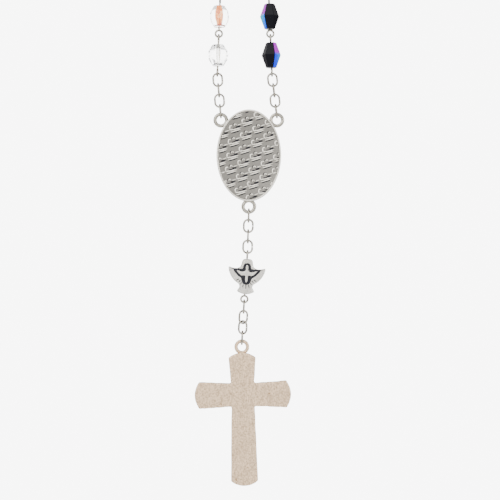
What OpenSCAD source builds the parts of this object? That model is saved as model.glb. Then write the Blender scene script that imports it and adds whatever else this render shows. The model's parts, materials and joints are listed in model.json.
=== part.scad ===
// Five-decade rosary of glass beads on silver wire, hanging from its top.
// Millimetres, +Z up. The loop and the pendant hang in the XZ plane; the
// backs of the medal and of the cross face -Y. The origin is the hanging point.
// Each strand is a row of wire pins and links that hook into one another;
// a "level" is the height at which two of them hook together.

/* [Wire] */
// Diameter of the wire in links, pins and eyes
wire_d = 0.6; // [0.45:0.05:0.8]
// Gap between two wires that hook together
wire_gap = 0.08; // [0.05:0.01:0.15]

/* [Links] */
// Length of a jump link over its wire
link_length = 4.4; // [4.0:0.1:6.0]
// Width of a jump link over its wire
link_width = 3.3; // [3.0:0.1:4.4]
// Width of the slit where a jump link was closed
link_slit = 0.08; // [0.04:0.02:0.2]
// Turn of the two middle links above the cross
link_turn = 30; // [0:5:40]

/* [Pins] */
// Diameter of a pin eye over its wire
eye_d = 2.6; // [2.4:0.1:3.2]
// Play between a bead and each eye of its pin
bead_play = 0.1; // [0.05:0.05:0.5]
// Diameter of the hole through every bead
bore_d = 0.9; // [0.8:0.05:1.2]

/* [Glass beads] */
// Diameter of a clear bead over its corners
clear_d = 6.2; // [5:0.1:7]
// Height of a clear bead
clear_height = 6.3; // [5:0.1:7]
// Diameter of the flat ends of a clear bead
clear_end_d = 3.4; // [2.4:0.1:4.4]
// Number of facets around a clear bead
clear_sides = 8; // [6:1:12]
// Diameter of a black bead over its corners
jet_d = 5.9; // [5:0.1:7]
// Height of a black bead
jet_height = 7.5; // [5.5:0.1:9]
// Diameter of the flat ends of a black bead
jet_end_d = 3.2; // [2.4:0.1:4.4]
// Number of facets around a black bead
jet_sides = 6; // [6:1:12]

/* [Dove beads] */
// Height of a dove bead
dove_height = 10.7; // [9:0.1:13]
// Span of the wings
dove_span = 11.3; // [9:0.1:12.5]
// Thickness of the body
dove_thickness = 3.4; // [2.6:0.1:5]
// Thickness of the wings
wing_thickness = 1.6; // [1:0.1:2.4]

/* [Medal] */
// Width of the oval
medal_width = 19.4; // [16:0.1:24]
// Height of the oval
medal_height = 27.5; // [24:0.1:34]
// Thickness at the rim
medal_thickness = 2; // [1.4:0.1:3]
// Width of the raised rim
medal_rim = 0.7; // [0.4:0.1:1.5]
// Span of the dove on the front
medal_dove = 15; // [8:0.5:16]
// Depth of the field below the rim, each side
medal_recess = 0.3; // [0.1:0.05:0.5]
// How far the upper loops stand in from the sides of the oval
medal_loop_inset = 1.3; // [1:0.1:1.8]
// How far the upper loops stand below the top of the oval
medal_loop_drop = 3.15; // [2.6:0.05:4]
// How far the lower loop stands below the oval
medal_loop_reach = 1.55; // [1.3:0.05:1.8]

/* [Cross] */
// Height of the cross without its loop
cross_height = 40; // [32:0.5:55]
// Width over the arms
cross_width = 29; // [22:0.5:38]
// Width of the beams at the crossing
beam_width = 7.1; // [5:0.1:9]
// Width of the beams at their ends
beam_end = 8.2; // [6:0.1:11]
// Height of the arm line below the loop centre
arm_drop = 14.3; // [12:0.1:20]
// Thickness of the cross
cross_thickness = 2.4; // [1.8:0.1:4]
// Width of the step around the front of the cross
cross_step = 1.1; // [0.6:0.1:2]
// Span of the dove on the front of the cross
cross_dove = 11.5; // [6:0.5:16]
// Bulge of the beam ends
end_bulge = 1.4; // [0:0.1:2]

/* [Hanging loops] */
// Outer diameter of the loops of the medal and the cross
loop_d = 4.5; // [4.2:0.1:6]
// Thickness of those loops
loop_wire_d = 1.05; // [0.8:0.05:1.3]

/* [Hang] */
// Distance between the strands at the second bead above the medal
second_bead_spacing = 16.4; // [12:0.1:18]
// Distance between the strands at the first bead above the medal
first_bead_spacing = 14.6; // [11:0.1:18]
// Sideways place of the strands at the second bead
second_bead_shift = -0.25; // [-2:0.05:2]
// Sideways place of the strands at the first bead
first_bead_shift = -0.3; // [-2:0.05:2]
// Lean of the right crown pin from upright
crown_lean = 38; // [30:1:45]
// Sideways place of the medal
medal_shift = 1; // [-2:0.05:2]
// Sideways place of the top of the lower dove bead
dove_top_shift = 0.6; // [-2:0.05:2]
// Sideways place of the foot of the lower dove bead
dove_foot_shift = -0.4; // [-2:0.05:2]
// Sideways place of the loop of the cross
cross_shift = -1.1; // [-2:0.05:2]
// Lean of the cross
cross_lean = 1.2; // [-5:0.1:5]

/* [Hidden] */

left = -1;
right = 1;
edge_on = 90;
face_on = 0;
wire_sides = 24;
round_sides = 48;
outline_step = 10;
eps = 0.01;

wire_r = wire_d/2;
eye_r = (eye_d - wire_d)/2;
loop_wire_r = loop_wire_d/2;
loop_r = (loop_d - loop_wire_d)/2;
link_r = (link_width - wire_d)/2;
link_straight = link_length - link_width;
stem_d = 0.9*wire_d;
loop_sink = 0.6;
clear_belt_r = 0.46*clear_d;
clear_belt_z = 0.2*clear_height;

bead_pin_length = max(clear_height, jet_height) + 2*(eye_d + bead_play);
dove_pin_length = dove_height + 2*(eye_d + bead_play);
medal_loop_spacing = medal_width - 2*medal_loop_inset;
medal_drop = medal_height/2 - medal_loop_drop;
medal_fall = medal_height - medal_loop_drop + medal_loop_reach;

// Centre distance of two hooked wires, and of a wire hooked in a cast loop
hook = wire_d + wire_gap;
loop_hook = wire_r + loop_wire_r + wire_gap;
link_pitch = link_length - wire_d - hook;
bead_pitch = bead_pin_length - wire_d - hook;
dove_pitch = dove_pin_length - wire_d - hook;
section_links = 3;
side_links = 4;
pendant_links = 4;
short_row = 2;
usual_row = 3;
long_row = 4;
section_pitch = 2*section_links*link_pitch + dove_pitch;

// Crown: the right top pin hooks into the eye of the left one, and the left one
// leans less, so that both strands start at the same height
crown_reach = 2*eye_r - hook;
crown_eye_gap = bead_pin_length - eye_d;
crown_offset_x = crown_reach*sin(crown_lean);
crown_offset_z = crown_reach*cos(crown_lean);
left_crown_lean = acos(cos(crown_lean) + crown_offset_z/crown_eye_gap);
crown_foot_z = -crown_offset_z/2 - crown_eye_gap*cos(crown_lean);
crown_left_x = -crown_offset_x/2 - crown_eye_gap*sin(left_crown_lean);
crown_right_x = crown_offset_x/2 + crown_eye_gap*sin(crown_lean);

// Levels of the strands, from the crown down to the medal
crown_level = crown_foot_z - (eye_r - hook) - hook/2;
top_row_level = crown_level - bead_pitch;
upper_section_level = top_row_level - usual_row*bead_pitch;
second_high_level = upper_section_level - section_pitch;
second_mid_level = second_high_level - usual_row*bead_pitch;
second_low_level = second_mid_level - usual_row*bead_pitch;
lower_section_level = second_low_level - long_row*bead_pitch;
high_level = lower_section_level - section_pitch;
mid_level = high_level - usual_row*bead_pitch;
low_level = mid_level - usual_row*bead_pitch;
first_bead_level = low_level - short_row*bead_pitch;
second_bead_level = first_bead_level - bead_pitch;
links_level = second_bead_level - bead_pitch;
medal_level = links_level - side_links*link_pitch;

// Levels of the pendant, from the medal down to the cross
medal_loop_z = medal_level - hook/2 + loop_hook - loop_r;
medal_foot_level = medal_loop_z - medal_fall - loop_r + loop_hook - hook/2;
dove_level = medal_foot_level - pendant_links*link_pitch;
dove_foot_level = dove_level - dove_pitch;
cross_level = dove_foot_level - pendant_links*link_pitch;
cross_loop_z = cross_level - hook/2 + loop_hook - loop_r;

// Sideways course of each strand and of the pendant, by height
function half_spacing(z) = lookup(z, [
    [medal_level, medal_loop_spacing/2], [links_level, second_bead_spacing/2],
    [first_bead_level, first_bead_spacing/2], [crown_level, (crown_right_x - crown_left_x)/2]]);
function sway(z) = lookup(z, [
    [medal_level, medal_shift], [links_level, second_bead_shift],
    [first_bead_level, first_bead_shift],
    [crown_level, (crown_left_x + crown_right_x)/2]]);
function strand_x(side, z) = side*half_spacing(z) + sway(z);
function pendant_x(z) = lookup(z, [
    [cross_level, cross_shift], [dove_foot_level, dove_foot_shift],
    [dove_level, dove_top_shift], [medal_foot_level, medal_shift]]);

// Puts a piece that hangs between two levels in its place, leaned to suit
module between(x_top, z_top, x_foot, z_foot)
    translate([(x_top + x_foot)/2, 0, (z_top + z_foot)/2])
        rotate([0, atan2(x_top - x_foot, z_top - z_foot), 0]) children();

module on_strand(side, z_top, pitch)
    between(strand_x(side, z_top), z_top, strand_x(side, z_top - pitch), z_top - pitch)
        children();

module on_pendant(z_top, pitch)
    between(pendant_x(z_top), z_top, pendant_x(z_top - pitch), z_top - pitch) children();

// Jump link: wire bent to a long ring, with the slit where its ends meet
module link(turn) rotate([0, 0, turn]) difference() {
    union() for (s = [0, 180]) rotate([0, s, 0]) {
        translate([0, 0, link_straight/2]) rotate([90, 0, 0])
            rotate_extrude(angle = 180, $fn = round_sides)
                translate([link_r, 0]) circle(r = wire_r, $fn = wire_sides);
        translate([link_r, 0, -link_straight/2])
            cylinder(r = wire_r, h = link_straight, $fn = wire_sides);
    }
    translate([link_r, 0, 0]) cube([2*wire_d, 2*wire_d, link_slit], center = true);
}

module ring(radius, thick_r) rotate([90, 0, 0])
    rotate_extrude($fn = round_sides) translate([radius, 0]) circle(r = thick_r, $fn = wire_sides);

// Pin: straight wire with an eye at each end
module pin(len, top_turn, foot_turn) {
    eye_z = (len - eye_d)/2;
    translate([0, 0, eye_z]) rotate([0, 0, top_turn]) ring(eye_r, wire_r);
    translate([0, 0, -eye_z]) rotate([0, 0, foot_turn]) ring(eye_r, wire_r);
    cylinder(d = stem_d, h = 2*(eye_z - eye_r), center = true, $fn = wire_sides);
}

module bore(len) cylinder(d = bore_d, h = len + 2, center = true, $fn = wire_sides);

// Clear bead: rounded, cut in flat strips with a belt round the middle
module clear_bead() color([0.93, 0.85, 0.78]) difference() {
    rotate_extrude($fn = clear_sides) polygon([
        [0, -clear_height/2], [clear_end_d/2, -clear_height/2],
        [clear_belt_r, -clear_belt_z], [clear_d/2, 0], [clear_belt_r, clear_belt_z],
        [clear_end_d/2, clear_height/2], [0, clear_height/2]]);
    bore(clear_height);
}

// Black bead: two cut-off pyramids foot to foot
module jet_bead() color([0.06, 0.07, 0.1]) difference() {
    rotate_extrude($fn = jet_sides) polygon([
        [0, -jet_height/2], [jet_end_d/2, -jet_height/2], [jet_d/2, 0],
        [jet_end_d/2, jet_height/2], [0, jet_height/2]]);
    bore(jet_height);
}

module glass_bead(side) {
    if (side == left) clear_bead();
    else jet_bead();
}

// Dove bead: head and tail along the pin, wings spread to the sides
module dove() color([0.75, 0.74, 0.71]) difference() {
    union() {
        rotate([90, 0, 0]) linear_extrude(wing_thickness, center = true) polygon([
            [-0.07*dove_span, 0.5*dove_height], [0.07*dove_span, 0.5*dove_height],
            [0.2*dove_span, 0.34*dove_height], [0.34*dove_span, 0.27*dove_height],
            [0.5*dove_span, 0.26*dove_height], [0.47*dove_span, 0.08*dove_height],
            [0.36*dove_span, -0.12*dove_height], [0.2*dove_span, -0.28*dove_height],
            [-0.2*dove_span, -0.28*dove_height], [-0.36*dove_span, -0.12*dove_height],
            [-0.47*dove_span, 0.1*dove_height], [-0.5*dove_span, 0.3*dove_height],
            [-0.34*dove_span, 0.28*dove_height], [-0.2*dove_span, 0.34*dove_height]]);
        rotate([90, 0, 0]) linear_extrude(dove_thickness, center = true) polygon([
            [-0.14*dove_span, 0.42*dove_height], [0, 0.46*dove_height],
            [0.14*dove_span, 0.42*dove_height], [0.25*dove_span, 0.15*dove_height],
            [0.21*dove_span, -0.28*dove_height], [0.3*dove_span, -0.42*dove_height],
            [0.13*dove_span, -0.47*dove_height], [0, -0.5*dove_height],
            [-0.13*dove_span, -0.47*dove_height], [-0.3*dove_span, -0.42*dove_height],
            [-0.21*dove_span, -0.28*dove_height], [-0.25*dove_span, 0.15*dove_height]]);
    }
    bore(dove_height);
}

// Small flying dove seen from the front, one unit across its wings
module dove_outline(span) polygon([
    [0, 0.3*span], [0.06*span, 0.22*span], [0.07*span, 0.14*span], [0.24*span, 0.24*span],
    [0.5*span, 0.2*span], [0.38*span, 0.02*span], [0.14*span, -0.1*span],
    [0.16*span, -0.3*span], [-0.16*span, -0.3*span], [-0.14*span, -0.1*span],
    [-0.38*span, 0.02*span], [-0.5*span, 0.2*span], [-0.24*span, 0.24*span],
    [-0.07*span, 0.14*span], [-0.06*span, 0.22*span]]);

module oval(width, height) polygon([for (a = [0:outline_step:360 - outline_step])
    [width/2*cos(a), height/2*sin(a)]]);

// Medal: oval plate with a raised rim, a dove on the front, three loops
module medal_piece() color([0.66, 0.64, 0.6]) {
    field = medal_thickness - 2*medal_recess;
    translate([0, 0, -medal_drop]) rotate([90, 0, 0]) {
        linear_extrude(medal_thickness, center = true) difference() {
            oval(medal_width, medal_height);
            oval(medal_width - 2*medal_rim, medal_height - 2*medal_rim);
        }
        linear_extrude(field, center = true)
            oval(medal_width - medal_rim, medal_height - medal_rim);
        translate([0, 0, -field/2 - medal_recess/2])
            linear_extrude(medal_recess + 2*eps, center = true) dove_outline(medal_dove);
    }
    for (s = [left, right]) translate([s*medal_loop_spacing/2, 0, 0]) ring(loop_r, loop_wire_r);
    translate([0, 0, -medal_fall]) ring(loop_r, loop_wire_r);
}

// Half of a beam end: straight flare with a bulged end, for the outline of the cross
function end_arc(half, bulge) = [for (t = [-1:0.25:1]) [t*half, bulge*(1 - t*t)]];

module cross_outline(inset) {
    b = beam_width/2 - inset;
    e = beam_end/2 - inset;
    top = -(loop_r + loop_wire_r - loop_sink) - inset;
    foot = top - cross_height + 2*inset;
    arm = cross_width/2 - inset;
    bulge = end_bulge;
    polygon(concat(
        [for (p = end_arc(e, bulge)) [p[0], top - bulge + p[1]]],
        [[b, -arm_drop + b]],
        [for (p = end_arc(e, bulge)) [arm - bulge + p[1], -arm_drop - p[0]]],
        [[b, -arm_drop - b]],
        [for (p = end_arc(e, bulge)) [-p[0], foot + bulge - p[1]]],
        [[-b, -arm_drop - b]],
        [for (p = end_arc(e, bulge)) [-arm + bulge - p[1], -arm_drop + p[0]]],
        [[-b, -arm_drop + b]]));
}

// Cross: flared beams, with a second raised cross and a dove on the front
module cross_piece() color([0.79, 0.74, 0.68]) {
    step = 0.3*cross_thickness;
    rotate([90, 0, 0]) {
        translate([0, 0, step - cross_thickness/2])
            linear_extrude(cross_thickness - step) cross_outline(0);
        translate([0, 0, (step - cross_thickness)/2]) linear_extrude(step) cross_outline(cross_step);
        translate([0, -arm_drop, -cross_thickness/2])
            linear_extrude(step) dove_outline(cross_dove);
    }
    ring(loop_r, loop_wire_r);
}

module silver() color([0.8, 0.8, 0.78]) children();

// One link, pin or bead of a side
module side_link(side, i) silver() on_strand(side, links_level - (i - 1)*link_pitch, link_pitch)
    link(i%2 == 0 ? edge_on : face_on);
module side_pin(side, level, foot_turn) silver() on_strand(side, level, bead_pitch)
    pin(bead_pin_length, edge_on, foot_turn);
module side_bead(side, level) on_strand(side, level, bead_pitch) glass_bead(side);

// Rows of several beads on both strands, which swing as one
module row_pins(level, count) for (i = [0:count - 1], side = [left, right])
    side_pin(side, level - i*bead_pitch, face_on);
module row_beads(side, level, count) for (i = [0:count - 1])
    side_bead(side, level - i*bead_pitch);

// Section between two decades: links, a dove bead on its pin, links
module section_upper(level) silver() for (i = [0:section_links - 1], side = [left, right])
    on_strand(side, level - i*link_pitch, link_pitch) link(i%2 == 0 ? edge_on : face_on);
module section_dove_pins(level) silver() for (side = [left, right])
    on_strand(side, level - section_links*link_pitch, dove_pitch)
        pin(dove_pin_length, face_on, edge_on);
module section_doves(level) for (side = [left, right])
    on_strand(side, level - section_links*link_pitch, dove_pitch) dove();
module section_lower(level) silver() for (i = [0:section_links - 1], side = [left, right])
    on_strand(side, level - section_links*link_pitch - dove_pitch - i*link_pitch, link_pitch)
        link(i%2 == 0 ? face_on : edge_on);

// Crown: the two top pins lean together and hook into each other
module crown_place(side) {
    lean = side == left ? left_crown_lean : crown_lean;
    translate([side*crown_offset_x/2, 0, -side*crown_offset_z/2]) rotate([0, -side*lean, 0])
        translate([0, 0, -crown_eye_gap/2]) children();
}
module crown_wires() {
    silver() crown_place(left) pin(bead_pin_length, face_on, face_on);
    silver() crown_place(right) pin(bead_pin_length, edge_on, face_on);
    row_pins(crown_level, 1);
}
module crown_beads(side) {
    crown_place(side) glass_bead(side);
    row_beads(side, crown_level, 1);
}

// Pendant pieces
module pendant_link(level, i, turn) silver() on_pendant(level - i*link_pitch, link_pitch)
    link(turn);

translate([cross_shift, 0, cross_loop_z]) rotate([0, -cross_lean, 0])  // crucifix
        cross_piece();
pendant_link(dove_foot_level, 3, edge_on);  // link_h
pendant_link(dove_foot_level, 2, -link_turn);  // link_g
pendant_link(dove_foot_level, 1, link_turn);  // link_f
pendant_link(dove_foot_level, 0, edge_on);  // link_e
silver() on_pendant(dove_level, dove_pitch)  // dove_pin
    pin(dove_pin_length, edge_on, face_on);
on_pendant(dove_level, dove_pitch) dove();  // dove_bead
pendant_link(medal_foot_level, 3, face_on);  // link_d
pendant_link(medal_foot_level, 2, edge_on);  // link_c
pendant_link(medal_foot_level, 1, face_on);  // link_b
pendant_link(medal_foot_level, 0, edge_on);  // link_a
translate([medal_shift, 0, medal_loop_z]) medal_piece();  // medal
side_link(left, 4);  // left_link_4
side_link(left, 3);  // left_link_3
side_link(left, 2);  // left_link_2
side_link(left, 1);  // left_link_1
side_link(right, 4);  // right_link_4
side_link(right, 3);  // right_link_3
side_link(right, 2);  // right_link_2
side_link(right, 1);  // right_link_1
side_pin(left, second_bead_level, edge_on);  // left_pin_2
side_bead(left, second_bead_level);  // left_bead_2
side_pin(right, second_bead_level, edge_on);  // right_pin_2
side_bead(right, second_bead_level);  // right_bead_2
side_pin(left, first_bead_level, face_on);  // left_pin_1
side_bead(left, first_bead_level);  // left_bead_1
side_pin(right, first_bead_level, face_on);  // right_pin_1
side_bead(right, first_bead_level);  // right_bead_1
row_pins(low_level, short_row);  // low_row_pins
row_beads(left, low_level, short_row);  // low_row_left_beads
row_beads(right, low_level, short_row);  // low_row_right_beads
row_pins(mid_level, usual_row);  // mid_row_pins
row_beads(left, mid_level, usual_row);  // mid_row_left_beads
row_beads(right, mid_level, usual_row);  // mid_row_right_beads
row_pins(high_level, usual_row);  // high_row_pins
row_beads(left, high_level, usual_row);  // high_row_left_beads
row_beads(right, high_level, usual_row);  // high_row_right_beads
section_lower(lower_section_level);  // lower_section_lower_links
section_dove_pins(lower_section_level);  // lower_dove_pins
section_doves(lower_section_level);  // lower_dove_beads
section_upper(lower_section_level);  // lower_section_upper_links
row_pins(second_low_level, long_row);  // second_low_row_pins
row_beads(left, second_low_level, long_row);  // second_low_row_left_beads
row_beads(right, second_low_level, long_row);  // second_low_row_right_beads
row_pins(second_mid_level, usual_row);  // second_mid_row_pins
row_beads(left, second_mid_level, usual_row);  // second_mid_row_left_beads
row_beads(right, second_mid_level, usual_row);  // second_mid_row_right_beads
row_pins(second_high_level, usual_row);  // second_high_row_pins
row_beads(left, second_high_level, usual_row);  // second_high_row_left_beads
row_beads(right, second_high_level, usual_row);  // second_high_row_right_beads
section_lower(upper_section_level);  // upper_section_lower_links
section_dove_pins(upper_section_level);  // upper_dove_pins
section_doves(upper_section_level);  // upper_dove_beads
section_upper(upper_section_level);  // upper_section_upper_links
row_pins(top_row_level, usual_row);  // top_row_pins
row_beads(left, top_row_level, usual_row);  // top_row_left_beads
row_beads(right, top_row_level, usual_row);  // top_row_right_beads
crown_wires();  // crown_pins
crown_beads(left);  // crown_left_beads
crown_beads(right);  // crown_right_beads
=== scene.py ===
import json
import math
import random

import bpy
from mathutils import Matrix, Vector, noise


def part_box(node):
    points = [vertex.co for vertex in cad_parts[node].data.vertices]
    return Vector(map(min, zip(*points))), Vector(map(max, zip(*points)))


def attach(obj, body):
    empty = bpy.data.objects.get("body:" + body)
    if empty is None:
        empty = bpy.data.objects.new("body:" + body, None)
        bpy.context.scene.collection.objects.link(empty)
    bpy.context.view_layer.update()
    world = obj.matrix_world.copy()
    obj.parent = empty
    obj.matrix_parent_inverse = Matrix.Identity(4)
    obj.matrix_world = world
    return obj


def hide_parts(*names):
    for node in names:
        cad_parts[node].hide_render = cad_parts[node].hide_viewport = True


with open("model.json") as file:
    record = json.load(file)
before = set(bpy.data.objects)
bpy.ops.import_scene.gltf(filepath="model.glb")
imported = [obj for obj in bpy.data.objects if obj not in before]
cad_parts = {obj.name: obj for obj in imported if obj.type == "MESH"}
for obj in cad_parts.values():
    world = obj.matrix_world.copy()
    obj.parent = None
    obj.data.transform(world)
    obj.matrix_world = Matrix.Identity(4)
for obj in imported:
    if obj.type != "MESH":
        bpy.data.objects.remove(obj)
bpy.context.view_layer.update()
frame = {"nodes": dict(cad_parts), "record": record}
nodes = frame["nodes"]

# Studio. The rosary hangs in front of a white room, and a long lens looks
# straight at the backs of the medal and of the cross.
LENS = 85
SENSOR = 36
VIEW_WIDTH = 0.150
VIEW_CENTRE_X = 0.00135
VIEW_DROP = 0.0421
NEAREST, FARTHEST = 0.01, 20
FLOOR_DROP = 0.75
FLOOR_RADIUS = 2.8
FLOOR_SIDES = 96
FLOOR_GREY = (0.9, 0.9, 0.9, 1)
FLOOR_ROUGHNESS = 0.7
FLOOR_GLOW = 0.8
ROOM_GLOW = 2.2
BACKDROP_GLOW = 8
WHITE = (1, 1, 1)
WALL_STOPS = [(0.5, (0.03, 0.03, 0.035)), (0.92, WHITE)]
FRONT_SHARE = 0.4
TOP_SHARE = 0.15
BACK_LOSS = 0.08
KEY_SIDE, KEY_FRONT, KEY_RISE, KEY_SIZE, KEY_POWER = -0.45, -0.55, 0.5, 0.8, 9
FILL_SIDE, FILL_FRONT, FILL_RISE, FILL_SIZE, FILL_POWER = 0.7, -0.35, 0.1, 0.4, 5

medal_low, medal_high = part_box("medal")
camera_data = bpy.data.cameras.new("studio_camera")
camera_data.lens = LENS
camera_data.sensor_width = SENSOR
camera_data.clip_start = NEAREST
camera_data.clip_end = FARTHEST
camera = bpy.data.objects.new("studio_camera", camera_data)
camera.location = (VIEW_CENTRE_X, -VIEW_WIDTH * LENS / SENSOR, medal_high.z - VIEW_DROP)
camera.rotation_euler = (math.radians(90), 0, 0)
bpy.context.scene.collection.objects.link(camera)
bpy.context.scene.camera = camera


def add_node(tree, kind, inputs=None, **settings):
    """Adds a shader node. Each input takes a value or the output of another node."""
    node = tree.nodes.new("ShaderNode" + kind)
    for key, value in settings.items():
        setattr(node, key, value)
    for socket, value in (inputs or {}).items():
        if isinstance(value, bpy.types.NodeSocket):
            tree.links.new(value, node.inputs[socket])
        else:
            node.inputs[socket].default_value = value
    return node


def arithmetic(tree, operation, *values):
    """Adds a maths node and gives its output."""
    return add_node(tree, "Math", dict(enumerate(values)), operation=operation).outputs["Value"]


def colour_ramp(tree, driver, stops, name="ramp"):
    """Adds a ramp of (position, colour) stops, in rising order, and gives its colour output."""
    ramp = add_node(tree, "ValToRGB", {"Fac": driver}, name=name)
    elements = ramp.color_ramp.elements
    for element, (position, colour) in zip(elements, (stops[0], stops[-1])):
        element.position = position
        element.color = (*colour, 1)
    for position, colour in stops[1:-1]:
        elements.new(position).color = (*colour, 1)
    return ramp.outputs["Color"]


room = bpy.data.worlds.new("white_room")
bpy.context.scene.world = room
room.use_nodes = True
air = room.node_tree
backdrop = air.nodes["Background"]
backdrop.inputs["Color"].default_value = (*WHITE, 1)
backdrop.inputs["Strength"].default_value = BACKDROP_GLOW
direction = add_node(air, "TexCoord").outputs["Generated"]
axes = add_node(air, "SeparateXYZ", {"Vector": direction}).outputs
height = arithmetic(air, "MULTIPLY_ADD", axes["Z"], TOP_SHARE, 0.5)
sideways = arithmetic(air, "ABSOLUTE", axes["Y"])
facing = arithmetic(air, "MULTIPLY_ADD", sideways, FRONT_SHARE, height)
facing = arithmetic(air, "MULTIPLY_ADD", axes["Y"], -BACK_LOSS, facing)
walls = add_node(air, "Background", {"Color": colour_ramp(air, facing, WALL_STOPS),
                                     "Strength": ROOM_GLOW})
rays = add_node(air, "LightPath").outputs
seen = arithmetic(air, "MAXIMUM", rays["Is Camera Ray"], rays["Is Transmission Ray"])
shown = add_node(air, "MixShader", {"Fac": seen, 1: walls.outputs["Background"],
                                    2: backdrop.outputs["Background"]})
air.links.new(shown.outputs["Shader"], air.nodes["World Output"].inputs["Surface"])


def area_light(name, place, target, size, power):
    """A square lamp turned towards its target."""
    lamp = bpy.data.lights.new(name, "AREA")
    lamp.size = size
    lamp.energy = power
    holder = bpy.data.objects.new(name, lamp)
    holder.location = place
    aim = Vector(target) - Vector(place)
    holder.rotation_euler = aim.to_track_quat("-Z", "Y").to_euler()
    bpy.context.scene.collection.objects.link(holder)


middle = (medal_low + medal_high) / 2
area_light("key_light", (KEY_SIDE, KEY_FRONT, middle.z + KEY_RISE), middle, KEY_SIZE, KEY_POWER)
area_light("side_light", (FILL_SIDE, FILL_FRONT, middle.z + FILL_RISE), middle,
           FILL_SIZE, FILL_POWER)

bpy.ops.mesh.primitive_circle_add(vertices=FLOOR_SIDES, radius=FLOOR_RADIUS, fill_type="NGON",
                                  location=(0, 0, camera.location.z - FLOOR_DROP))
floor = bpy.context.object
floor.name = "floor"
pale = bpy.data.materials.new("pale_floor")
pale.use_nodes = True
paint = pale.node_tree.nodes["Principled BSDF"].inputs
paint["Base Color"].default_value = FLOOR_GREY
paint["Roughness"].default_value = FLOOR_ROUGHNESS
paint["Emission Color"].default_value = (*WHITE, 1)
paint["Emission Strength"].default_value = FLOOR_GLOW
floor.data.materials.append(pale)

# Wire. Links, pins and eyes are bent from drawn silver-coloured wire; each is
# the shape that was packed, and gets a drawn-wire finish here.
GRAIN_DETAIL = 4
GRAIN_DEPTH = 0.0001
STAIN_FROM, STAIN_TO = 0.32, 0.6


def metal(name, colour, stain, roughness, grain, grain_size):
    """A cast or drawn metal: fine grain in its surface, and darker where it is stained."""
    finish = bpy.data.materials.new(name)
    finish.use_nodes = True
    tree = finish.node_tree
    shader = tree.nodes["Principled BSDF"]
    shader.inputs["Metallic"].default_value = 1.0
    shader.inputs["Roughness"].default_value = roughness
    place = add_node(tree, "TexCoord").outputs["Object"]
    speck = add_node(tree, "TexNoise", {
        "Vector": place, "Scale": 1 / grain_size, "Detail": GRAIN_DETAIL}).outputs["Fac"]
    bump = add_node(tree, "Bump", {
        "Height": speck, "Strength": grain, "Distance": GRAIN_DEPTH})
    tree.links.new(bump.outputs["Normal"], shader.inputs["Normal"])
    tint = colour_ramp(tree, speck, [(STAIN_FROM, stain), (STAIN_TO, colour)], name="tint")
    tree.links.new(tint, shader.inputs["Base Color"])
    return finish


wire_silver = metal("wire_silver", colour=(0.31, 0.29, 0.24), stain=(0.16, 0.145, 0.12),
                    roughness=0.16, grain=0.2, grain_size=0.0005)
for name, node in nodes.items():
    if "pin" in name or "link" in name:
        node.data.materials.clear()
        node.data.materials.append(wire_silver)

# Glass beads. Each one is pressed and cut glass with a bore down its middle:
# on the left clear with an apricot coat on one side, on the right black with
# a coat that turns violet and blue on its side facets.
BORE_RADIUS = 0.00045
BORE_SIDES = 24
DRILL_LENGTH = 0.02
JET_HEIGHT = 0.0075
JET_WIDTH = 0.0059
JET_SIDES = 6
CLEAR_SIDES = 8
EDGE_EASE = 0.00009
EASED_FROM = math.radians(12)
EASE_STEPS = 2
WELD = 0.000001
AXIS_ROUNDS = 12
JET_ROWS = [(0.0016, -JET_HEIGHT / 2), (JET_WIDTH / 2, 0), (0.0016, JET_HEIGHT / 2)]
CLEAR_ROWS = [(0.0017, -0.00315), (0.00285, -0.00126), (0.0031, 0),
              (0.00285, 0.00126), (0.0017, 0.00315)]
# The lowest beads have a known turn on their pins, side of the coat and shift of its hue.
TURNS = {"left_bead_1": math.radians(22.5), "left_bead_2": math.radians(5),
         "right_bead_1": math.radians(-5), "right_bead_2": math.radians(-7)}
COATED = {"left_bead_1": math.radians(-95), "left_bead_2": None,
          "right_bead_1": math.pi, "right_bead_2": 0}
HUES = {"right_bead_1": 0.2, "right_bead_2": 0.0}
LARGEST_HUE = 0.2
CLEAR_COAT_FROM = 0.8
JET_COAT_FROM = 0.5
COAT_SPECK = 0.0012
COAT_DETAIL = 3
APRICOT_STOPS = [(0.33, (0.28, 0.05, 0.09)), (0.4, (0.6, 0.13, 0.04)),
                 (0.52, (0.85, 0.24, 0.05)), (0.68, (0.95, 0.5, 0.25))]
CLEAR_TINT = (0.97, 0.97, 0.96, 1)
COATED_CLARITY = 0.12
SHEEN_STOPS = [(0.5, (0.01, 0.04, 0.85)), (0.8, (0.0, 0.22, 0.95)), (1.0, (0.0, 0.42, 0.5))]
VIOLET = (0.38, 0.01, 0.5, 1)
VIOLET_FROM, VIOLET_TO = 0.5, 0.62
JET_TINT = (0.003, 0.003, 0.005, 1)
COAT_METAL = 0.35
JET_GLARE = 0.04
SEED = 7


def deselect():
    bpy.ops.object.select_all(action="DESELECT")


def take(piece):
    """Selects one piece alone and makes it the active one."""
    deselect()
    piece.select_set(True)
    bpy.context.view_layer.objects.active = piece


def edit(piece):
    take(piece)
    bpy.ops.object.mode_set(mode="EDIT")


def finish_edit():
    bpy.ops.object.mode_set(mode="OBJECT")


def keep_modifier(piece, kind, **settings):
    """Adds a modifier and applies it."""
    take(piece)
    modifier = piece.modifiers.new(kind.lower(), kind)
    for key, value in settings.items():
        setattr(modifier, key, value)
    bpy.ops.object.modifier_apply(modifier=modifier.name)


def drill_bore(piece):
    """Cuts the hole for the pin, along Z."""
    deselect()
    bpy.ops.mesh.primitive_cylinder_add(vertices=BORE_SIDES, radius=BORE_RADIUS,
                                        depth=DRILL_LENGTH)
    drill = bpy.context.object
    keep_modifier(piece, "BOOLEAN", operation="DIFFERENCE", object=drill, solver="EXACT")
    bpy.data.objects.remove(drill)


def copy_of(piece, name):
    """A copy with its own mesh."""
    copy = piece.copy()
    copy.data = piece.data.copy()
    copy.name = name
    bpy.context.scene.collection.objects.link(copy)
    return copy


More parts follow.
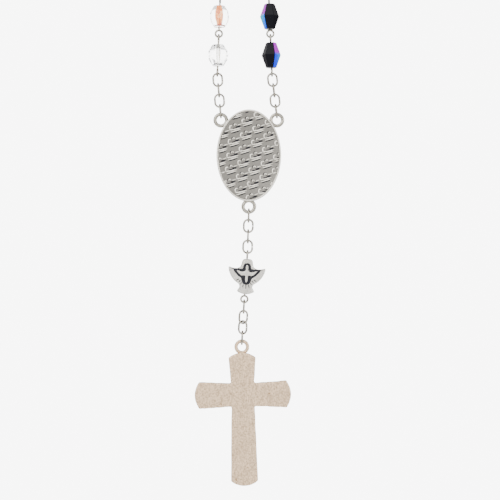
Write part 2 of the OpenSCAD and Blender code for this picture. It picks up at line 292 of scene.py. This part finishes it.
def places_on(name):
    """Centre and axis of every solid in a CAD node, top one first."""
    copy = copy_of(nodes[name], name + "_copy")
    edit(copy)
    bpy.ops.mesh.select_all(action="SELECT")
    bpy.ops.mesh.remove_doubles(threshold=WELD)
    bpy.ops.mesh.separate(type="LOOSE")
    finish_edit()
    places = []
    for solid in list(bpy.context.selected_objects):
        points = [vertex.co for vertex in solid.data.vertices]
        centre = sum(points, Vector()) / len(points)
        axis = Vector((0, 0, 1))
        for turn in range(AXIS_ROUNDS):
            upper = [p - centre for p in points if (p - centre).dot(axis) > 0]
            lower = [p - centre for p in points if (p - centre).dot(axis) < 0]
            axis = sum(upper, Vector()) / len(upper) - sum(lower, Vector()) / len(lower)
            axis.normalize()
        places.append((centre, axis))
        bpy.data.objects.remove(solid)
    return sorted(places, key=lambda place: -place[0].z)


def turn_onto(axis):
    """The turn that brings Z onto an axis."""
    return Vector((0, 0, 1)).rotation_difference(axis).to_matrix().to_4x4()


def cut_bead(name, sides, rows):
    """A faceted bead on Z, from rows of (radius, height), with its bore and eased edges."""
    deselect()
    radius, height = rows[0]
    bpy.ops.mesh.primitive_circle_add(vertices=sides, radius=radius, fill_type="NGON",
                                      location=(0, 0, 0))
    bead = bpy.context.object
    bead.name = name
    edit(bead)
    bpy.ops.mesh.select_all(action="SELECT")
    bpy.ops.transform.translate(value=(0, 0, height))
    for (inner, low), (outer, high) in zip(rows, rows[1:]):
        bpy.ops.mesh.extrude_region_move(TRANSFORM_OT_translate={"value": (0, 0, high - low)})
        bpy.ops.transform.resize(value=(outer / inner, outer / inner, 1))
    bpy.ops.mesh.select_all(action="SELECT")
    bpy.ops.mesh.normals_make_consistent(inside=False)
    bpy.ops.transform.rotate(value=math.pi / 2, orient_axis="Z", center_override=(0, 0, 0))
    finish_edit()
    keep_modifier(bead, "BEVEL", width=EDGE_EASE, segments=EASE_STEPS, angle_limit=EASED_FROM)
    drill_bore(bead)
    return bead


def string_beads(pattern, names, finish, coat_from):
    """Copies one bead to every place in the named CAD nodes, and stands for them.

    A facet is coated if its normal leans far enough to the coat's side. The attribute
    holds the coat in red, the place along the bead in green and across it in blue."""
    for name in names:
        for number, (centre, axis) in enumerate(places_on(name), 1):
            bead = copy_of(pattern, f"{name}_glass_{number}")
            spin = Matrix.Rotation(TURNS.get(name, random.uniform(0, math.pi)), 4, "Z")
            bead.data.transform(Matrix.Translation(centre) @ turn_onto(axis) @ spin)
            bead.data.materials.clear()
            bead.data.materials.append(finish)
            coat = bead.data.attributes.new("coat", "FLOAT_COLOR", "CORNER")
            around = COATED.get(name, random.uniform(0, 2 * math.pi))
            side = Vector()
            if around is not None:
                side = Vector((math.cos(around), math.sin(around), 0))
            hue = HUES.get(name, random.uniform(0, LARGEST_HUE))
            for face in bead.data.polygons:
                amount = 1.0 if face.normal.dot(side) > coat_from else 0.0
                for corner in face.loop_indices:
                    vertex = bead.data.vertices[bead.data.loops[corner].vertex_index]
                    offset = vertex.co - centre
                    along = 0.5 + offset.dot(axis) / JET_HEIGHT
                    across = abs(offset.x) / JET_WIDTH * 2 + hue
                    coat.data[corner].color = (amount, along, across, 1)
            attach(bead, body_of[name])
            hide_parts(name)
    bpy.data.objects.remove(pattern)


def mix_colours(tree, share, first, second):
    """Adds a colour mix and gives its output."""
    return add_node(tree, "Mix", {"Factor": share, "A": first, "B": second},
                    data_type="RGBA").outputs["Result"]


def glass(name, roughness, bend):
    """A new glass, and the channels of the coat that its beads carry."""
    finish = bpy.data.materials.new(name)
    finish.use_nodes = True
    tree = finish.node_tree
    shader = tree.nodes["Principled BSDF"]
    shader.inputs["Roughness"].default_value = roughness
    shader.inputs["IOR"].default_value = bend
    mark = add_node(tree, "Attribute", attribute_name="coat").outputs["Color"]
    return finish, tree, shader, add_node(tree, "SeparateColor", {"Color": mark}).outputs


body_of = {member: body for body, members in frame["record"]["behaviour"]["bodies"].items()
           for member in members}
left_names = [name for name in nodes if "left_bead" in name]
right_names = [name for name in nodes if "right_bead" in name]
random.seed(SEED)

clear_glass, tree, shader, coat = glass("clear_glass", roughness=0.02, bend=1.52)
place = add_node(tree, "TexCoord").outputs["Object"]
cloud = add_node(tree, "TexNoise", {"Vector": place, "Scale": 1 / COAT_SPECK,
                                   "Detail": COAT_DETAIL})
apricot = colour_ramp(tree, cloud.outputs["Fac"], APRICOT_STOPS)
tree.links.new(mix_colours(tree, coat["Red"], CLEAR_TINT, apricot), shader.inputs["Base Color"])
clarity = add_node(tree, "MapRange", {
    "Value": coat["Red"], "To Min": 1, "To Max": COATED_CLARITY}).outputs["Result"]
tree.links.new(clarity, shader.inputs["Transmission Weight"])
string_beads(cut_bead("clear_bead", CLEAR_SIDES, CLEAR_ROWS), left_names,
             clear_glass, CLEAR_COAT_FROM)

black_glass, tree, shader, coat = glass("black_glass", roughness=0.06, bend=1.6)
shader.inputs["Specular IOR Level"].default_value = JET_GLARE
sheen = colour_ramp(tree, coat["Blue"], SHEEN_STOPS)
upper = add_node(tree, "MapRange", {
    "Value": coat["Green"], "From Min": VIOLET_FROM, "From Max": VIOLET_TO}).outputs["Result"]
rainbow = mix_colours(tree, upper, sheen, VIOLET)
tree.links.new(mix_colours(tree, coat["Red"], JET_TINT, rainbow), shader.inputs["Base Color"])
tree.links.new(arithmetic(tree, "MULTIPLY", coat["Red"], COAT_METAL), shader.inputs["Metallic"])
string_beads(cut_bead("jet_bead", JET_SIDES, JET_ROWS), right_names,
             black_glass, JET_COAT_FROM)

# Dove beads. Each is cast in silver as a dove with spread wings, domed over its
# pin; a small dove stands in a blackened hollow on its face, with rays below.
# Dark rods just under the upper edges of the wings are painted shadow.
# The outlines are the right halves of the shapes, in millimetres.
MM_IN_METRE = 1000
WING_HALF = 0.0007
BODY_HALF = 0.0017
BODY_SPREAD = 0.0026
BODY_ROUNDING = 0.00018
BODY_VOXEL = 0.00014
DOVE_HALF = [
    (0.0, 5.35), (1.05, 5.3), (1.6, 4.7), (1.75, 3.6), (2.1, 2.75), (3.1, 2.35), (4.4, 2.45),
    (5.65, 2.85), (5.35, 1.2), (4.5, -0.4), (3.4, -1.6), (2.2, -2.3), (1.85, -3.2),
    (2.75, -4.5), (1.4, -5.1), (0.0, -5.35)]
HOLLOW_THICKNESS = 0.00005
HOLLOW_VOXEL = 0.00007
HOLLOW_HALF = [
    (0.0, 4.15), (0.8, 3.95), (1.2, 3.3), (1.25, 2.35), (2.3, 2.3), (4.3, 2.2), (3.7, 1.2),
    (2.6, 0.1), (1.75, -0.4), (1.5, -0.9), (1.35, -1.7), (0.8, -2.3), (0.0, -2.5)]
SMALL_THICKNESS = 0.0002
SMALL_ROUNDING = 0.0001
SMALL_VOXEL = 0.00008
SMALL_LIFT = 0.00012
SMALL_DOVE_HALF = [
    (0.0, 3.55), (0.24, 3.45), (0.36, 2.9), (0.34, 1.75), (1.3, 1.3), (3.3, 1.95), (2.5, 0.95),
    (1.5, 0.2), (0.95, 0.4), (0.36, 0.3), (0.4, -1.2), (0.0, -1.9)]
RAY_COUNT = 9
RAY_FIRST, RAY_FAN = 212, 116
RAY_CENTRE = 0.0006
RAY_SINK = 0.00003
RAY_RADII = [0.0002, 0.0001]
# Where the rays start and end, from the outermost one to the middle one.
RAY_REACH = [(0.0027, 0.00355), (0.0025, 0.0032), (0.0028, 0.0035),
             (0.0031, 0.0040), (0.0031, 0.0042)]
# Rods of painted shadow just under the upper edges of the wings: their points in millimetres,
# radii, drop and sink.
WING_SHADOW_LINE = [(2.2, 2.7), (3.2, 2.43), (4.4, 2.5), (5.05, 2.7)]
WING_SHADOW_RADII = [0.00006, 0.00012, 0.00012, 0.00004]
WING_SHADOW_DROP = 0.00032
WING_SHADOW_SINK = 0.00004
CORNER_CUT = 0.2
SOFTENING = 0.5
cast_silver = metal("cast_silver", colour=(0.6, 0.58, 0.53), stain=(0.42, 0.4, 0.36),
                    roughness=0.42, grain=0.5, grain_size=0.0004)
# Blackening for the hollows and rays. The same dark finish colours the rods of painted shadow on
# the dove wings and on the medal.
blackening_and_painted_shadow = metal("blackening_and_painted_shadow", colour=(0.03, 0.03, 0.035), stain=(0.012, 0.012, 0.015),
                   roughness=0.55, grain=0.4, grain_size=0.0004)


def smooth(piece):
    take(piece)
    bpy.ops.object.shade_smooth()


def dress(piece, finish):
    piece.data.materials.clear()
    piece.data.materials.append(finish)
    return piece


def settle(piece):
    """Puts a piece's place, turn and size into its mesh."""
    take(piece)
    bpy.ops.object.transform_apply(location=True, rotation=True, scale=True)


def join(name, pieces):
    take(pieces[0])
    for piece in pieces:
        piece.select_set(True)
    bpy.ops.object.join()
    pieces[0].name = name
    return pieces[0]


def eased(points, closed, passes=2):
    """Cuts the corners of an outline again and again, so that it runs in curves."""
    for turn in range(passes):
        ends = points[1:] + points[:1] if closed else points[1:]
        new = []
        for a, b in zip(points, ends):
            new.append(tuple(p + (q - p) * CORNER_CUT for p, q in zip(a, b)))
            new.append(tuple(q + (p - q) * CORNER_CUT for p, q in zip(a, b)))
        if not closed:
            new[0], new[-1] = points[0], points[-1]
        points = new
    return points


def polyline(name, points):
    """A curve through points of (x, y, z), linked to the scene, with its data."""
    line = bpy.data.curves.new(name, "CURVE")
    spline = line.splines.new("POLY")
    spline.points.add(len(points) - 1)
    for point, place in zip(spline.points, points):
        point.co = (*place, 1)
    piece = bpy.data.objects.new(name, line)
    bpy.context.scene.collection.objects.link(piece)
    return piece, line


def cut_out(name, outline, half_thickness, rounding, steps):
    """A flat cut-out in the XZ plane from its outline in millimetres, with rounded edges."""
    piece, line = polyline(name, [(x / MM_IN_METRE, z / MM_IN_METRE, 0) for x, z in outline])
    line.dimensions = "2D"
    line.fill_mode = "BOTH"
    line.extrude = half_thickness - rounding
    line.bevel_depth = rounding
    line.bevel_resolution = steps
    line.offset = -rounding
    line.splines[0].use_cyclic_u = True
    piece.rotation_euler = (math.pi / 2, 0, 0)
    take(piece)
    bpy.ops.object.convert(target="MESH")
    settle(piece)
    return piece


def plate(name, half, half_thickness, rounding=0.0):
    """A flat cut-out from half of its outline, mirrored over Z."""
    mirrored = half + [(-x, z) for x, z in half[::-1] if x > 0]
    return cut_out(name, eased(mirrored, True), half_thickness, rounding, steps=2)


def rod(name, points, radii):
    """A round bar through points of (x, y, z), with its radius at each of them."""
    piece, line = polyline(name, points)
    line.dimensions = "3D"
    line.bevel_depth = 1.0
    line.bevel_resolution = 1
    line.use_fill_caps = True
    for point, radius in zip(line.splines[0].points, radii):
        point.radius = radius
    take(piece)
    bpy.ops.object.convert(target="MESH")
    return piece


def face_depth(x):
    """How far the face of the dove bead stands out at a distance from its middle."""
    return WING_HALF + (BODY_HALF - WING_HALF) * math.exp(-(x / BODY_SPREAD) ** 2)


def lay_on_face(piece, lift, side):
    """Bends a flat relief over the domed face, standing lift proud of it."""
    for vertex in piece.data.vertices:
        vertex.co.y = side * (face_depth(vertex.co.x) + lift + vertex.co.y * side)


def dove_body():
    body = plate("dove_body", DOVE_HALF, WING_HALF, BODY_ROUNDING)
    keep_modifier(body, "REMESH", mode="VOXEL", voxel_size=BODY_VOXEL)
    for vertex in body.data.vertices:
        vertex.co.y *= face_depth(vertex.co.x) / WING_HALF
    keep_modifier(body, "SMOOTH", factor=SOFTENING, iterations=2)
    drill_bore(body)
    smooth(body)
    return dress(body, cast_silver)


def hollow_and_small_dove(side):
    hollow = plate("hollow", HOLLOW_HALF, HOLLOW_THICKNESS)
    keep_modifier(hollow, "REMESH", mode="VOXEL", voxel_size=HOLLOW_VOXEL)
    lay_on_face(hollow, 0.0, side)
    small = plate("small_dove", SMALL_DOVE_HALF, SMALL_THICKNESS, SMALL_ROUNDING)
    keep_modifier(small, "REMESH", mode="VOXEL", voxel_size=SMALL_VOXEL)
    keep_modifier(small, "SMOOTH", factor=SOFTENING, iterations=3)
    lay_on_face(small, SMALL_LIFT, side)
    smooth(small)
    return [dress(hollow, blackening_and_painted_shadow), dress(small, cast_silver)]


def rays_and_wing_shadows(side):
    lines = []
    for number in range(RAY_COUNT):
        angle = math.radians(RAY_FIRST + number * RAY_FAN / (RAY_COUNT - 1))
        ray = []
        for reach in RAY_REACH[min(number, RAY_COUNT - 1 - number)]:
            x, z = reach * math.cos(angle), reach * math.sin(angle) + RAY_CENTRE
            ray.append((x, side * (face_depth(x) - RAY_SINK), z))
        lines.append(rod("ray", ray, RAY_RADII))
    # Painted shadow: a dark rod under the upper edge of each wing.
    for hand in (-1, 1):
        wing_shadow = [(hand * x / MM_IN_METRE, side * (face_depth(x / MM_IN_METRE) - WING_SHADOW_SINK),
                 z / MM_IN_METRE - WING_SHADOW_DROP) for x, z in WING_SHADOW_LINE]
        lines.append(rod("painted_wing_shadow", wing_shadow, WING_SHADOW_RADII))
    return [dress(line, blackening_and_painted_shadow) for line in lines]


parts = [dove_body()]
for side in (-1, 1):
    parts += hollow_and_small_dove(side) + rays_and_wing_shadows(side)
pattern = join("cast_dove", parts)
for name in [name for name in nodes if "dove_bead" in name]:
    for number, (centre, axis) in enumerate(places_on(name), 1):
        dove = copy_of(pattern, f"{name}_cast_{number}")
        low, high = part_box(name)
        if name == "dove_bead":
            centre = (low + high) / 2
        else:
            centre = Vector((centre.x, 0, (low.z + high.z) / 2))
        axis = Vector((axis.x, 0, axis.z)).normalized()
        dove.data.transform(Matrix.Translation(centre) @ turn_onto(axis))
        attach(dove, body_of[name])
        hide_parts(name)
bpy.data.objects.remove(pattern)

# Medal. An oval is struck with a plain rim and a repeating pattern of hooks and
# lines on its back, antiqued so the hollows stay dark; dark rods beside the raised
# lines are painted shadow. Three loops are soldered on.
MEDAL_WIDTH = 0.0194
MEDAL_HEIGHT = 0.0275
MEDAL_HALF = 0.001
MEDAL_SIDES = 128
MEDAL_RIM = 0.00045
RIM_SLOPE = 0.0001
FIELD_SHARE = 0.6
RIM_EASE = 0.00012
RIM_EASED_FROM = math.radians(40)
FACE_FROM = 0.9
LOOP_RADIUS = 0.001725
LOOP_WIRE = 0.000525
LOOP_SIDES, WIRE_SIDES = 48, 16
LOOP_SPACING = 0.0168
LOOP_DROP = 0.00315
DARK_Y, BRIGHT_Y = 0.00054, 0.00082
PATINA = (0.05, 0.046, 0.042, 1)
RELIEF_VOXEL = 0.00015
RELIEF_ROUNDING = 0.0001
FRONT_DOVE_SCALE = 1.25
FRONT_DOVE_THICKNESS = 0.00022
FRONT_DOVE_Y = 0.00072
MOTIF_START = (0.0009, -0.0003)
MOTIF_STEP = (0.0037, 0.00195)
MOTIF_DROP = (-0.0004, -0.00414)
MOTIF_ROWS, MOTIF_COLUMNS = range(-6, 7), range(-4, 5)
MOTIF_MARGIN = 0.00015
FEWEST_POINTS = 4
# Depth of the dark rods of painted shadow beside the ridges.
RIDGE_Y = -0.00068
RIDGE_SHADOW_Y = -0.00052
TIP_SHARE = 0.5
# Each line of the motif is a list of points and a radius, in millimetres.
HOOK_WIDTH, HOOK_HEIGHT = 0.5, 0.66
HOOK_FIRST, HOOK_TURN, HOOK_POINTS = 55, 25, 11
HOOK_ARC = [(HOOK_WIDTH * math.cos(angle), HOOK_HEIGHT * math.sin(angle))
            for angle in (math.radians(HOOK_FIRST + HOOK_TURN * step)
                          for step in range(HOOK_POINTS))]
RIDGES = [
    (HOOK_ARC + [(0.9, -0.52), (1.9, -0.25), (3.0, 0.1)], 0.22),
    ([(-0.1, -1.3), (0.9, -1.02), (1.9, -0.72), (2.9, -0.38)], 0.19),
    ([(0.95, 0.62), (0.92, 1.05), (1.35, 1.2), (1.6, 0.8)], 0.17),
    ([(1.9, 0.78), (2.6, 1.05), (3.3, 1.3)], 0.16)]
# Dark rods of painted shadow beside the ridges and inside the hook.
RIDGE_SHADOWS = [
    ([(0.03, 0.36), (0.0, -0.22)], 0.24),
    ([(0.45, -0.08), (1.0, -0.14), (1.9, 0.14), (3.0, 0.5)], 0.2),
    ([(0.1, -0.96), (0.9, -0.76), (1.9, -0.47), (2.9, -0.12)], 0.19),
    ([(-0.1, -1.66), (0.9, -1.36), (1.9, -1.06), (2.7, -0.76)], 0.19),
    ([(1.25, 0.5), (2.1, 0.42), (2.9, 0.78)], 0.17),
    ([(0.62, 0.55), (0.6, 1.25), (1.1, 1.5)], 0.15)]
medal_x = (medal_low.x + medal_high.x) / 2
medal_z = medal_high.z - MEDAL_HEIGHT / 2
shoulder_z = medal_high.z - LOOP_DROP - medal_z
foot_z = medal_low.z + LOOP_RADIUS + LOOP_WIRE - medal_z

struck = metal("struck_silver", colour=(0.77, 0.735, 0.66), stain=(0.54, 0.51, 0.44),
               roughness=0.33, grain=0.35, grain_size=0.0003)
tree = struck.node_tree
place = add_node(tree, "TexCoord").outputs["Object"]
depth = arithmetic(tree, "ABSOLUTE", add_node(tree, "SeparateXYZ", {"Vector": place}).outputs["Y"])
worn = add_node(tree, "MapRange", {
    "Value": depth, "From Min": DARK_Y, "From Max": BRIGHT_Y}).outputs["Result"]
antiqued = mix_colours(tree, worn, PATINA, tree.nodes["tint"].outputs["Color"])
tree.links.new(antiqued, tree.nodes["Principled BSDF"].inputs["Base Color"])
polished = metal("polished_silver", colour=(0.38, 0.355, 0.3), stain=(0.19, 0.175, 0.14),
                 roughness=0.24, grain=0.4, grain_size=0.0004)


def pick_faces(piece, wanted):
    """Selects, in edit mode, only the faces for which wanted(face) is true."""
    bpy.ops.mesh.select_all(action="DESELECT")
    bpy.ops.object.mode_set(mode="OBJECT")
    for face in piece.data.polygons:
        face.select = wanted(face)
    bpy.ops.object.mode_set(mode="EDIT")
    bpy.ops.mesh.select_mode(type="FACE")


def struck_oval():
    """The oval plate, its two faces sunk inside a plain rim."""
    deselect()
    bpy.ops.mesh.primitive_cylinder_add(vertices=MEDAL_SIDES, radius=0.5, depth=2 * MEDAL_HALF)
    oval = bpy.context.object
    oval.rotation_euler = (math.pi / 2, 0, 0)
    oval.scale = (MEDAL_WIDTH, MEDAL_HEIGHT, 1)
    settle(oval)
    edit(oval)
    pick_faces(oval, lambda face: abs(face.normal.y) > FACE_FROM)
    bpy.ops.mesh.inset(thickness=MEDAL_RIM, use_individual=True)
    bpy.ops.mesh.inset(thickness=RIM_SLOPE, use_individual=True)
    bpy.ops.transform.resize(value=(1, FIELD_SHARE, 1), center_override=(0, 0, 0))
    finish_edit()
    keep_modifier(oval, "BEVEL", width=RIM_EASE, segments=3, angle_limit=RIM_EASED_FROM)
    smooth(oval)
    return dress(oval, struck)


def inside_oval(x, z, margin):
    return (x / (MEDAL_WIDTH / 2 - margin)) ** 2 + (z / (MEDAL_HEIGHT / 2 - margin)) ** 2 < 1


def motif_line(line, radius, start_x, start_z, depth, finish):
    """One line of the motif as a list with its rod, or none if the rim leaves it no room."""
    inner = []
    for x, z in eased(line, False):
        x, z = start_x + x / MM_IN_METRE, start_z + z / MM_IN_METRE
        if inside_oval(x, z, MEDAL_RIM + MOTIF_MARGIN):
            inner.append((x, depth, z))
    if len(inner) < FEWEST_POINTS:
        return []
    taper = [radius / MM_IN_METRE] * len(inner)
    taper[0] = taper[-1] = radius / MM_IN_METRE * TIP_SHARE
    return [dress(rod("line", inner, taper), finish)]


def soldered_loop(x, z, finish):
    """A ring of round wire that faces the front."""
    deselect()
    bpy.ops.mesh.primitive_torus_add(
        major_radius=LOOP_RADIUS, minor_radius=LOOP_WIRE, major_segments=LOOP_SIDES,
        minor_segments=WIRE_SIDES, location=(x, 0, z), rotation=(math.pi / 2, 0, 0))
    loop = bpy.context.object
    settle(loop)
    smooth(loop)
    return dress(loop, finish)


def relief_dove(name, scale, half_thickness, place, finish):
    """A plain flat dove in relief, for the unseen fronts."""
    half = [(x * scale, z * scale) for x, z in DOVE_HALF]
    dove = plate(name, half, half_thickness, RELIEF_ROUNDING)
    keep_modifier(dove, "REMESH", mode="VOXEL", voxel_size=RELIEF_VOXEL)
    smooth(dove)
    dove.location = place
    settle(dove)
    return dress(dove, finish)


medal = struck_oval()
relief = []
for row in MOTIF_ROWS:
    for column in MOTIF_COLUMNS:
        start_x = column * MOTIF_STEP[0] + row * MOTIF_DROP[0] + MOTIF_START[0]
        start_z = column * MOTIF_STEP[1] + row * MOTIF_DROP[1] + MOTIF_START[1]
        for line, radius in RIDGES:
            relief += motif_line(line, radius, start_x, start_z, RIDGE_Y, struck)
        # Painted shadow: a dark rod beside each ridge.
        for line, radius in RIDGE_SHADOWS:
            relief += motif_line(line, radius, start_x, start_z, RIDGE_SHADOW_Y, blackening_and_painted_shadow)
relief = join("medal_relief", relief)
smooth(relief)
loops = [soldered_loop(x, z, polished) for x, z in (
    (-LOOP_SPACING / 2, shoulder_z), (LOOP_SPACING / 2, shoulder_z), (0, foot_z))]
front_dove = relief_dove("front_dove", FRONT_DOVE_SCALE, FRONT_DOVE_THICKNESS,
                         (0, FRONT_DOVE_Y, 0), struck)
medal = join("medal_struck", [medal, relief, front_dove, *loops])
medal.location = (medal_x, 0, medal_z)
settle(medal)
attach(medal, body_of["medal"])
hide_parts("medal")

# Crucifix. A heavy cast cross with flared, slightly uneven beams and a plain
# brushed back; its front carries a narrower raised cross and a dove. The
# sizes of its outline are in millimetres, from the middle of its loop.
CROSS_WIDTH = 29.0
CROSS_HEIGHT = 40.0
BEAM_HALF = 3.55
END_HALF = 4.1
END_BULGE = 1.4
END_STEPS = 6
ARM_DROP = 14.3
CROSS_TOP = -1.65
CROSS_STEP = 1.1
CROSS_LEAN = math.radians(1.2)
LOOP_X = -0.0011
EDGE_STEP = 0.8
EDGE_ZOOM = 0.7
EDGE_SEED = 4.2
BEAM_MARGIN = 1.02
BACK_UNEVEN, RAISED_UNEVEN = 0.05, 0.02
BACK_HALF, BACK_ROUNDING, BACK_Y = 0.00084, 0.0003, -0.00036
BACK_VOXEL = 0.00022
HEWN_SIZE = 0.0035
HEWN_DEPTH = 0.00012
RAISED_HALF, RAISED_ROUNDING, RAISED_Y = 0.0003, 0.0001, 0.0007
CROSS_DOVE_HALF, CROSS_DOVE_Y = 0.0002, 0.001
BRUSH_GRAIN = (1 / 0.00018, 1 / 0.0004, 1 / 0.0018)
BRUSH_LOW, BRUSH_HIGH = 0.3, 0.7
BRUSH_DARK, BRUSH_BRIGHT = 0.72, 1.12
SPOT_GRAIN = 1 / 0.0021
SPOT_FROM, SPOT_TO = 0.7, 0.76
SPOT_TINT = (0.3, 0.19, 0.1, 1)
cross_top_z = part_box("crucifix")[1].z

cast_alloy = metal("cast_alloy", colour=(0.76, 0.56, 0.37), stain=(0.46, 0.33, 0.21),
                   roughness=0.5, grain=1.0, grain_size=0.0005)
tree = cast_alloy.node_tree
place = add_node(tree, "TexCoord").outputs["Object"]
comb = add_node(tree, "Mapping", {"Vector": place, "Scale": BRUSH_GRAIN}).outputs["Vector"]
brush = add_node(tree, "TexNoise", {"Vector": comb, "Scale": 1, "Detail": 3}).outputs["Fac"]
brushed = add_node(tree, "MapRange", {
    "Value": brush, "From Min": BRUSH_LOW, "From Max": BRUSH_HIGH,
    "To Min": BRUSH_DARK, "To Max": BRUSH_BRIGHT})
spot = add_node(tree, "TexNoise", {"Vector": place, "Scale": SPOT_GRAIN, "Detail": 2})
spots = add_node(tree, "MapRange", {
    "Value": spot.outputs["Fac"], "From Min": SPOT_FROM, "From Max": SPOT_TO}).outputs["Result"]
spotted = mix_colours(tree, spots, tree.nodes["tint"].outputs["Color"], SPOT_TINT)
streaked = add_node(tree, "VectorMath", {
    0: spotted, "Scale": brushed.outputs["Result"]}, operation="SCALE").outputs["Vector"]
tree.links.new(streaked, tree.nodes["Principled BSDF"].inputs["Base Color"])


def cross_outline(inset, uneven):
    """Outline of the cross, drawn in by inset; each side may waver by the share uneven."""
    beam, end = BEAM_HALF - inset, END_HALF - inset
    top, foot = CROSS_TOP - inset, CROSS_TOP - CROSS_HEIGHT + inset
    arm = CROSS_WIDTH / 2 - inset
    arc = [(t / END_STEPS * end, END_BULGE * (1 - (t / END_STEPS) ** 2))
           for t in range(-END_STEPS, END_STEPS + 1)]
    corners = [[(x, top - END_BULGE + z) for x, z in arc], [(beam, -ARM_DROP + beam)],
               [(arm - END_BULGE + z, -ARM_DROP - x) for x, z in arc], [(beam, -ARM_DROP - beam)],
               [(-x, foot + END_BULGE - z) for x, z in arc], [(-beam, -ARM_DROP - beam)],
               [(-arm + END_BULGE - z, -ARM_DROP + x) for x, z in arc],
               [(-beam, -ARM_DROP + beam)]]
    points = [point for group in corners for point in group]
    outline = []
    for (x, z), (next_x, next_z) in zip(points, points[1:] + points[:1]):
        steps = max(1, int(math.hypot(next_x - x, next_z - z) / EDGE_STEP))
        for step in range(steps):
            px = x + (next_x - x) * step / steps
            pz = z + (next_z - z) * step / steps
            waver = 1 - uneven * abs(noise.noise((px * EDGE_ZOOM, pz * EDGE_ZOOM, EDGE_SEED)))
            if abs(px) > beam * BEAM_MARGIN:
                pz = -ARM_DROP + (pz + ARM_DROP) * waver
            else:
                px *= waver
            outline.append((px, pz))
    return outline


back = cut_out("cross_back", cross_outline(0, BACK_UNEVEN), BACK_HALF, BACK_ROUNDING, steps=3)
back.location.y = BACK_Y
settle(back)
keep_modifier(back, "REMESH", mode="VOXEL", voxel_size=BACK_VOXEL)
hewn = bpy.data.textures.new("hewn", "CLOUDS")
hewn.noise_scale = HEWN_SIZE
keep_modifier(back, "DISPLACE", texture=hewn, strength=HEWN_DEPTH, mid_level=1.0)
smooth(back)
raised = cut_out("cross_raised", cross_outline(CROSS_STEP, RAISED_UNEVEN),
                 RAISED_HALF, RAISED_ROUNDING, steps=3)
raised.location.y = RAISED_Y
settle(raised)
cross_dove = relief_dove("cross_dove", 1, CROSS_DOVE_HALF,
                         (0, CROSS_DOVE_Y, -ARM_DROP / MM_IN_METRE), cast_alloy)
cross_loop = soldered_loop(0, 0, cast_alloy)
cross = join("cross_cast", [dress(back, cast_alloy), dress(raised, cast_alloy),
                            cross_dove, cross_loop])
loop_place = Vector((LOOP_X, 0, cross_top_z - LOOP_RADIUS - LOOP_WIRE))
cross.data.transform(Matrix.Translation(loop_place) @ Matrix.Rotation(-CROSS_LEAN, 4, "Y"))
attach(cross, body_of["crucifix"])
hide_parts("crucifix")
